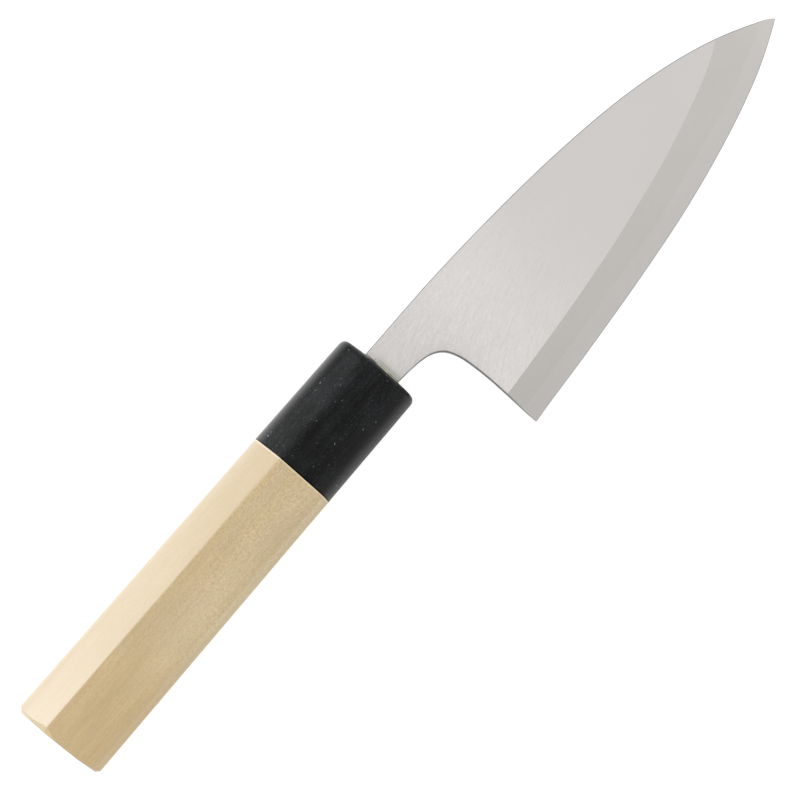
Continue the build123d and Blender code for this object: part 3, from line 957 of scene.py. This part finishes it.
def wood_material():
    m = Mat("wood_magnolia")
    x, y, z = m.split(m.mm)
    # growth layers: long bands that follow the grain
    bend = m.noise(m.vec("MULTIPLY", m.mm, (0.012, 0.05, 0.05)), 1.0, 2.0)
    r = m.math("SQRT", m.math("ADD", m.math("POWER", m.math("ADD", y, 34.0), 2.0),
                              m.math("POWER", m.math("ADD", z, 52.0), 2.0)))
    ring = m.noise(m.join(m.math("MULTIPLY", x, 0.008), m.math("MULTIPLY_ADD", bend, 2.2, m.math("MULTIPLY", r, 0.42)), 0.0),
                   1.0, 3.0, 0.55)
    fibre = m.noise(m.vec("MULTIPLY", m.mm, (0.10, 2.6, 2.6)), 1.0, 3.0, 0.6)
    mottle = m.noise(m.vec("MULTIPLY", m.mm, (1.5, 2.2, 2.2)), 1.0, 2.0, 0.65)
    patch = m.noise(m.vec("MULTIPLY", m.mm, (0.045, 0.16, 0.16)), 1.0, 3.0, 0.6)
    blush = m.noise(m.vec("ADD", m.vec("MULTIPLY", m.mm, (0.06, 0.22, 0.22)), (7.3, 2.1, 4.4)), 1.0, 2.0, 0.5)
    pores = m.cells(m.vec("MULTIPLY", m.mm, (0.60, 3.1, 3.1)), 1.0, 1.0)
    pore = m.ramp(pores, 0.20, 0.06)
    pale, dark = (0.638, 0.468, 0.248), (0.588, 0.420, 0.207)
    base = m.mix(m.ramp(ring, 0.30, 0.70), dark, pale)
    base = m.mix(m.ramp(blush, 0.45, 0.72, 0.0, 0.5), base, (0.608, 0.424, 0.238))
    # the grain is busier towards the ferrule
    busy = m.ramp(x, BUTT_X + SHIFT[0], JOINT_X + SHIFT[0], 1.3, 4.7, "LINEAR")
    busy = m.math("MULTIPLY", busy, m.ramp(patch, 0.3, 0.7, 0.6, 1.4, "LINEAR"))
    # and on the lower flat, quieter on the upper
    lower = m.ramp(y, 4.6 + SHIFT[1], 3.8 + SHIFT[1])
    quiet = m.ramp(x, BUTT_X + SHIFT[0], JOINT_X + SHIFT[0], 0.50, 0.24, "LINEAR")
    busy = m.math("MULTIPLY", busy, m.ramp(lower, 0.0, 1.0, quiet, 1.0, "LINEAR"))
    f = m.math("MULTIPLY_ADD", m.math("SUBTRACT", fibre, 0.5), m.ramp(lower, 0.0, 1.0, 0.19, 0.28, "LINEAR"), 1.0)
    f = m.math("MULTIPLY_ADD", m.math("SUBTRACT", patch, 0.5), m.ramp(lower, 0.0, 1.0, 0.12, 0.34, "LINEAR"), f)
    f = m.math("MULTIPLY_ADD", m.math("SUBTRACT", mottle, 0.5), m.math("MULTIPLY", busy, 0.22), f)
    base = grey_by(m, base, f)
    # slow change of tone: warmer at the butt, paler in the middle; and painted light: the upper flat, facing the lamps,
    # painted paler and cooler than the lower flat, with greyer painted reflections near the spine's side of the upper
    # flat and the edge's side of the lower flat
    mid = m.ramp(x, -108.0 + SHIFT[0], -80.0 + SHIFT[0])
    fore = m.ramp(x, -66.0 + SHIFT[0], -44.0 + SHIFT[0])
    shaded_lower_tone = m.mix(fore, m.mix(mid, (0.480, 0.458, 0.412), (0.506, 0.503, 0.503)), (0.508, 0.514, 0.520))
    outer = m.math("MULTIPLY", m.ramp(y, -9.6 + SHIFT[1], -11.4 + SHIFT[1], 0.0, 0.8), mid)
    shaded_lower_tone = m.mix(outer, shaded_lower_tone, (0.525, 0.550, 0.570))
    wx = m.math("DIVIDE", m.math("SUBTRACT", x, -76.0 + SHIFT[0]), 24.0)
    wy = m.math("DIVIDE", m.math("SUBTRACT", y, -5.0 + SHIFT[1]), 3.4)
    pale_spot = m.math("EXPONENT", m.math("MULTIPLY", m.math("ADD", m.math("MULTIPLY", wx, wx), m.math("MULTIPLY", wy, wy)), -1.0))
    shaded_lower_tone = m.mix(m.math("MULTIPLY", pale_spot, 0.7), shaded_lower_tone, (0.550, 0.570, 0.610))
    by_ridge = m.math("MULTIPLY", m.ramp(y, 1.4 + SHIFT[1], 3.6 + SHIFT[1], 0.0, 0.9), mid)
    shaded_lower_tone = m.mix(by_ridge, shaded_lower_tone, (0.495, 0.484, 0.450))
    lit_upper_tone = m.mix(fore, m.mix(mid, (0.492, 0.502, 0.540), (0.497, 0.510, 0.562)), (0.500, 0.516, 0.578))
    lit_upper_tone = m.mix(m.ramp(y, 7.0 + SHIFT[1], 10.5 + SHIFT[1], 0.0, 0.7), lit_upper_tone, (0.500, 0.515, 0.600))
    tone_ = m.mix(lower, lit_upper_tone, shaded_lower_tone)
    base = m.vec("SCALE", m.vec("MULTIPLY", base, tone_), scale=2.0)
    base = m.mix(m.math("MULTIPLY", pore, m.math("MULTIPLY", busy, 0.16)), base, (0.36, 0.235, 0.135))
    # a painted highlight: a pale line along the wood's rim at the shoulder
    shoulder_highlight = m.ramp(x, JOINT_X - 0.52 + SHIFT[0], JOINT_X - 0.40 + SHIFT[0])
    base = m.mix(m.math("MULTIPLY", shoulder_highlight, m.ramp(lower, 0.0, 1.0, 0.8, 0.5, "LINEAR")), base, (0.93, 0.80, 0.56))
    # and the seam itself is dark
    seam = m.ramp(x, JOINT_X - 0.14 + SHIFT[0], JOINT_X - 0.08 + SHIFT[0])
    base = m.mix(seam, base, (0.02, 0.016, 0.012))
    height = m.math("SUBTRACT", m.math("MULTIPLY", fibre, 0.6), pore)
    m.set(Base_Color=base, Roughness=0.38, Specular_IOR_Level=1.0, Normal=m.bump(height, 0.00001, 1.0))
    return m.m


def end_grain_material():
    m = Mat("wood_end_grain")
    x, y, z = m.split(m.mm)
    r = m.math("SQRT", m.math("ADD", m.math("POWER", m.math("ADD", y, 34.0), 2.0),
                              m.math("POWER", m.math("ADD", z, 52.0), 2.0)))
    ring = m.noise(m.join(0.0, m.math("MULTIPLY", r, 0.42), 0.0), 1.0, 3.0, 0.55)
    dots = m.ramp(m.cells(m.vec("MULTIPLY", m.mm, (4.5, 4.5, 4.5)), 1.0, 1.0), 0.32, 0.12)
    base = m.mix(m.ramp(ring, 0.35, 0.65), (0.36, 0.262, 0.150), (0.44, 0.335, 0.205))
    base = m.mix(m.math("MULTIPLY", dots, 0.35), base, (0.24, 0.16, 0.09))
    m.set(Base_Color=base, Roughness=0.7, Specular_IOR_Level=0.3, Normal=m.bump(dots, 0.00002, 1.0))
    return m.m


def horn_material():
    m = Mat("horn_black")
    streak = m.noise(m.vec("MULTIPLY", m.mm, (0.05, 1.1, 1.1)), 1.0, 3.0, 0.6)
    fibre = m.noise(m.vec("MULTIPLY", m.mm, (0.25, 5.5, 5.5)), 1.0, 2.0, 0.6)
    # sparse pale flecks, each with its own size, shape and tone
    warp = m.noise(m.vec("MULTIPLY", m.mm, (1.6, 2.6, 2.6)), 1.0, 2.0, 0.6)
    at_ = m.vec("ADD", m.vec("MULTIPLY", m.mm, (0.50, 0.72, 0.72)), m.vec("SCALE", m.join(warp, warp, warp), scale=0.35))
    dist, tint = m.cells_two(at_)
    r_, g_, b_ = m.split(tint)
    size = m.math("MULTIPLY_ADD", g_, 0.12, 0.05)
    group = m.noise(m.vec("MULTIPLY", m.mm, (0.11, 0.17, 0.17)), 1.0, 1.0)
    least = m.ramp(group, 0.35, 0.65, 0.66, 0.06, "LINEAR")
    spot = m.math("MULTIPLY", m.ramp(dist, size, m.math("MULTIPLY", size, 0.30)),
                  m.ramp(r_, least, m.math("ADD", least, 0.03)))
    fleck = m.mix(b_, (0.44, 0.46, 0.44), (0.22, 0.27, 0.32))
    mist = m.noise(m.vec("MULTIPLY", m.mm, (1.5, 2.2, 2.2)), 1.0, 2.0, 0.65)
    haze = m.noise(m.vec("MULTIPLY", m.mm, (0.12, 0.25, 0.25)), 1.0, 2.0, 0.5)
    base = m.mix(m.ramp(streak, 0.30, 0.72), (0.0028, 0.0034, 0.0033), (0.0088, 0.0089, 0.0085))
    base = m.mix(m.ramp(haze, 0.42, 0.72, 0.0, 0.85), base, (0.0110, 0.0130, 0.0145))
    # greyer towards the edge's side
    x, y, _ = m.split(m.mm)
    base = m.mix(m.ramp(y, -5.0 + SHIFT[1], -9.0 + SHIFT[1], 0.0, 0.75), base, (0.0165, 0.0165, 0.0160))
    # and a little towards the front on the upper flat
    rise = m.math("MULTIPLY", m.ramp(x, JOINT_X + 6.0 + SHIFT[0], FRONT_X - 2.0 + SHIFT[0], 0.05, 0.55, "LINEAR"),
                  m.math("MULTIPLY", m.ramp(y, 4.9 + SHIFT[1], 5.3 + SHIFT[1]), m.ramp(y, 9.6 + SHIFT[1], 8.4 + SHIFT[1])))
    # painted reflection: the spine's rounding painted grey for the bright floor it mirrors, and darker just inside it
    near_rim = m.math("MULTIPLY", m.ramp(y, 8.4 + SHIFT[1], 9.5 + SHIFT[1], 0.0, 0.95), m.ramp(y, 10.5 + SHIFT[1], 9.9 + SHIFT[1]))
    base = m.mix(rise, base, (0.0150, 0.0165, 0.0175))
    base = m.mix(near_rim, base, (0.0032, 0.0036, 0.0042))
    base = m.mix(m.ramp(y, 10.3 + SHIFT[1], 11.1 + SHIFT[1], 0.0, 0.8), base, (0.024, 0.024, 0.024))
    bare = m.ramp(haze, 0.30, 0.60, 0.35, 1.0)
    base = m.mix(m.math("MULTIPLY", m.ramp(mist, 0.46, 0.80), bare), base, (0.027, 0.0285, 0.0285))
    grit = m.noise(m.vec("MULTIPLY", m.mm, (2.1, 2.6, 2.6)), 1.0, 1.0)
    base = m.mix(m.math("MULTIPLY", m.ramp(grit, 0.66, 0.78), m.ramp(group, 0.35, 0.65, 0.25, 0.8)), base, (0.062, 0.068, 0.068))
    base = m.mix(m.math("MULTIPLY", spot, m.math("POWER", b_, 1.3)), base, fleck)
    # no shine in the seam
    gloss = m.ramp(x, JOINT_X + 0.05 + SHIFT[0], JOINT_X + 0.45 + SHIFT[0], 0.22, 0.47)
    # and less on the front's rounding outside the lower flat
    dull = m.math("MULTIPLY", m.ramp(x, FRONT_X - 1.5 + SHIFT[0], FRONT_X - 0.7 + SHIFT[0], 0.0, 0.3),
                  m.math("MAXIMUM", m.ramp(y, 4.4 + SHIFT[1], 5.6 + SHIFT[1]), m.ramp(y, -5.0 + SHIFT[1], -8.0 + SHIFT[1])))
    gloss = m.math("MULTIPLY", gloss, m.math("SUBTRACT", 1.0, dull))
    m.set(Base_Color=base, Roughness=m.ramp(fibre, 0.3, 0.7, 0.27, 0.35, "LINEAR"), Specular_IOR_Level=gloss,
          Normal=m.bump(fibre, 0.000004, 1.0))
    return m.m


def wax_material():
    m = Mat("wax_seal")
    n = m.noise(m.vec("MULTIPLY", m.mm, (1.5, 1.5, 1.5)), 1.0, 3.0, 0.6)
    base = m.mix(m.ramp(n, 0.35, 0.7), (0.50, 0.47, 0.30), (0.66, 0.63, 0.46))
    m.set(Base_Color=base, Roughness=0.5, Specular_IOR_Level=0.4, Subsurface_Weight=0.2,
          Subsurface_Radius=(0.001, 0.0008, 0.0005), Normal=m.bump(n, 0.00004, 1.0))
    return m.m


hira = hira_material()
kireha_soft = kireha_material("steel_bevel_soft", KIREHA_RGB, 0.50)
kireha_hard = kireha_material("steel_bevel_hard", HAGANE_RGB, 0.46)
micro = kireha_material("steel_edge", (0.33, 0.322, 0.315), 0.30)
sides, ura, rim_m = side_material(), ura_material(), rim_material()
blade_mats = {HIRA: hira, KIREHA: None, SIDE: sides, URA: ura, RIM: rim_m, KIREHA + 4: micro}

# ---------------------------------------------------------------------------
# Pieces
# ---------------------------------------------------------------------------
# hard steel: ahead of its step and under the weld line
bm = blade_bmesh()
bmesh.ops.bisect_plane(bm, geom=everything(bm), dist=1e-6, plane_co=(STEEL_START, 0, 0), plane_no=(1, 0, 0), clear_inner=True)
fill(bm, open_edges_of(bm), SIDE)
bmesh.ops.bisect_plane(bm, geom=everything(bm), dist=1e-6, plane_co=lam_co, plane_no=lam_no, clear_outer=True)
fill(bm, open_edges_of(bm), SIDE)
hard = bm_to_piece(bm, "hard_steel_layer", [hira, kireha_hard, sides, ura, rim_m, micro])

# soft iron: the rest, with neck and tang
bm = blade_bmesh()
bmesh.ops.bisect_plane(bm, geom=everything(bm), dist=1e-6, plane_co=(STEEL_START, 0, 0), plane_no=(1, 0, 0))
front = [f for f in bm.faces if f.calc_center_median().x > STEEL_START]
geom = set(front)
for f in front:
    geom.update(f.verts)
    geom.update(f.edges)
bmesh.ops.bisect_plane(bm, geom=list(geom), dist=1e-6, plane_co=lam_co, plane_no=lam_no)
gone = [f for f in bm.faces if f.calc_center_median().x > STEEL_START
        and (f.calc_center_median() - lam_co).dot(lam_no) < 0]
bmesh.ops.delete(bm, geom=gone, context="FACES")
open_now = open_edges_of(bm)
corner = sorted({v for e in open_now for v in e.verts
                 if abs(v.co.x - STEEL_START) < 1e-4 and abs((v.co - lam_co).dot(lam_no)) < 1e-4}, key=lambda v: v.co.y)
print("weld corner points", len(corner))
bar = bm.edges.new((corner[0], corner[-1]))
back_part = [e for e in open_now if all(abs(v.co.x - STEEL_START) < 1e-4 for v in e.verts)]
weld_part = [e for e in open_now if e not in set(back_part)]
fill(bm, back_part + [bar], SIDE)
fill(bm, weld_part + [bar], SIDE)
soft = bm_to_piece(bm, "cladding_blade", [hira, kireha_soft, sides, ura, rim_m, micro])

wood, end_grain, horn_m, wax = wood_material(), end_grain_material(), horn_material(), wax_material()
per = N_AROUND
grip_kind = [1 if i < 4 * per or i >= len(grip_f) - 2 * per else 0 for i in range(len(grip_f))]
grip = to_object("magnolia_grip", grip_v, grip_f, [wood, end_grain], grip_kind, 40.0)
horn = to_object("horn_ring", horn_v, horn_f, [horn_m], None, 40.0)
seal = to_object("wax_bead", seal_v, seal_f, [wax], None, 60.0)

for piece, node, slot in ((soft, "blade_cladding", "soft_iron"), (hard, "edge_steel", "hard_steel"),
                          (grip, "wood_handle", "magnolia"), (horn, "horn_ferrule", "horn"),
                          (seal, "tang_seal", "wax")):
    soft_normals(piece)
    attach(piece, "root")
    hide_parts(node)

# ---------------------------------------------------------------------------
# Floor, light, camera
# ---------------------------------------------------------------------------
m = Mat("floor_white")
straight = m.t.nodes.new("ShaderNodeLightPath").outputs["Is Camera Ray"]
_, y, _ = m.split(m.mm)
# painted light: the floor glows, plain white behind the knife for the camera, and for the light that it throws back a
# softer painted glow, strong on the spine's side and weak on the edge's side
painted_floor_glow = m.math("MULTIPLY_ADD", m.ramp(y, 12.0, 30.0), 0.547, m.math("MULTIPLY", m.ramp(y, -12.0, -30.0), 0.11))
m.set(Base_Color=(0.88, 0.88, 0.88), Roughness=0.9, Specular_IOR_Level=0.1, Emission_Color=(1, 1, 1),
      Emission_Strength=m.ramp(straight, 0.0, 1.0, painted_floor_glow, 0.75, "LINEAR"))
mesh = bpy.data.meshes.new("floor")
R = 4.0
mesh.from_pydata([(R * math.cos(a), R * math.sin(a), -0.00005) for a in np.linspace(0, 2 * math.pi, 65)[:-1]], [],
                 [tuple(range(64))])
mesh.materials.append(m.m)
floor = bpy.data.objects.new("floor", mesh)
bpy.context.scene.collection.objects.link(floor)

scene = bpy.context.scene
world = bpy.data.worlds.new("studio")
scene.world = world
world.use_nodes = True
nt = world.node_tree
nt.nodes.clear()
bg = nt.nodes.new("ShaderNodeBackground")
wout = nt.nodes.new("ShaderNodeOutputWorld")
bg.inputs["Color"].default_value = (1.0, 1.0, 1.0, 1.0)
# a soft room: how bright it is at each angle, from the horizon on the spine's side over the top to the edge's side
SKY = ((0, 0.16), (180, 0.916), (12, 0.30), (25, 0.59), (45, 0.782), (68, 0.866), (90, 0.833), (112, 0.671), (135, 0.653))
way = nt.nodes.new("ShaderNodeTexCoord")
part = nt.nodes.new("ShaderNodeSeparateXYZ")
nt.links.new(way.outputs["Generated"], part.inputs[0])
level = nt.nodes.new("ShaderNodeValToRGB")
for i, (deg, light) in enumerate(SKY):
    spot = level.color_ramp.elements[i] if i < 2 else level.color_ramp.elements.new(deg / 180)
    spot.position, spot.color = deg / 180, (light, light, light, 1.0)
above = nt.nodes.new("ShaderNodeMath")
above.operation = "MAXIMUM"
above.inputs[1].default_value = 0.0
nt.links.new(part.outputs["Z"], above.inputs[0])
turn = nt.nodes.new("ShaderNodeMath")
turn.operation = "ARCTAN2"
nt.links.new(above.outputs[0], turn.inputs[0])
nt.links.new(part.outputs["Y"], turn.inputs[1])
share = nt.nodes.new("ShaderNodeMath")
share.operation = "DIVIDE"
share.inputs[1].default_value = math.pi
nt.links.new(turn.outputs[0], share.inputs[0])
nt.links.new(share.outputs[0], level.inputs["Fac"])
nt.links.new(level.outputs["Color"], bg.inputs["Color"])
# and brighter beyond the tip
ahead = nt.nodes.new("ShaderNodeMapRange")
ahead.interpolation_type = "SMOOTHSTEP"
for key, val in (("From Min", 0.78), ("From Max", 0.98), ("To Min", 1.0), ("To Max", 1.9)):
    ahead.inputs[key].default_value = val
nt.links.new(part.outputs["X"], ahead.inputs["Value"])
nt.links.new(ahead.outputs["Result"], bg.inputs["Strength"])
nt.links.new(bg.outputs[0], wout.inputs["Surface"])


def area_light(name, place, aim, size, power, size_y=None, colour=(1, 1, 1)):
    data = bpy.data.lights.new(name, "AREA")
    data.shape = "RECTANGLE"
    data.size, data.size_y = size, size_y or size
    data.energy = power
    data.color = colour
    o = bpy.data.objects.new(name, data)
    o.location = place
    o.rotation_mode = "QUATERNION"
    o.rotation_quaternion = (Vector(aim) - Vector(place)).to_track_quat("-Z", "Y")
    o.visible_camera = False
    scene.collection.objects.link(o)
    return o


for name, place, power in (("key_low", (-0.19, 0.38, 0.075), 0.47), ("key_right", (0.0, 0.38, 0.075), 0.021),
                           ("key_high", (-0.19, 0.33, 0.20), 0.375)):
    area_light(name, place, (-0.12, 0.01, 0.01), 0.15, power, 0.13)

cam_data = bpy.data.cameras.new("camera")
cam_data.lens, cam_data.sensor_width = 178.85, 36.0
cam_data.clip_start, cam_data.clip_end = 0.05, 30.0
cam = bpy.data.objects.new("camera", cam_data)
scene.collection.objects.link(cam)
scene.camera = cam
tilt = math.radians(5.0)
ea = np.array((math.cos(tilt), 0, math.sin(tilt)))
eb = np.array((0.0, -1.0, 0.0))
fwd = np.array((math.sin(tilt), 0, -math.cos(tilt)))
right, up = 0.65336 * ea + 0.75705 * eb, 0.75705 * ea - 0.65336 * eb
eye = (np.array((-90.28, -8.965, 996.195)) + SHIFT) * 0.001
rot = Matrix((right, up, -fwd)).transposed().to_4x4()
cam.matrix_world = Matrix.Translation(Vector(eye)) @ rot

scene.view_settings.view_transform = "Standard"
scene.view_settings.look = "None"
scene.view_settings.exposure = 0.0
scene.view_settings.gamma = 1.0
# contrast of the print: a soft shoulder near white and a short toe near black
scene.view_settings.use_curve_mapping = True
tone = scene.view_settings.curve_mapping
WHITE, BEND, TOE = 1.10, 0.80, 0.0020
tone.white_level = (WHITE, WHITE, WHITE)
tone.extend = "HORIZONTAL"
curve = tone.curves[3]
for i in range(1, 28):
    u = (i / 28) ** 2
    v = WHITE * u
    curve.points.new(u, (1 - math.exp(-BEND * v)) / (1 - math.exp(-BEND * WHITE)) * v * v / (v * v + TOE))
for p in curve.points:
    p.handle_type = "AUTO_CLAMPED"
tone.update()

bpy.context.view_layer.update()
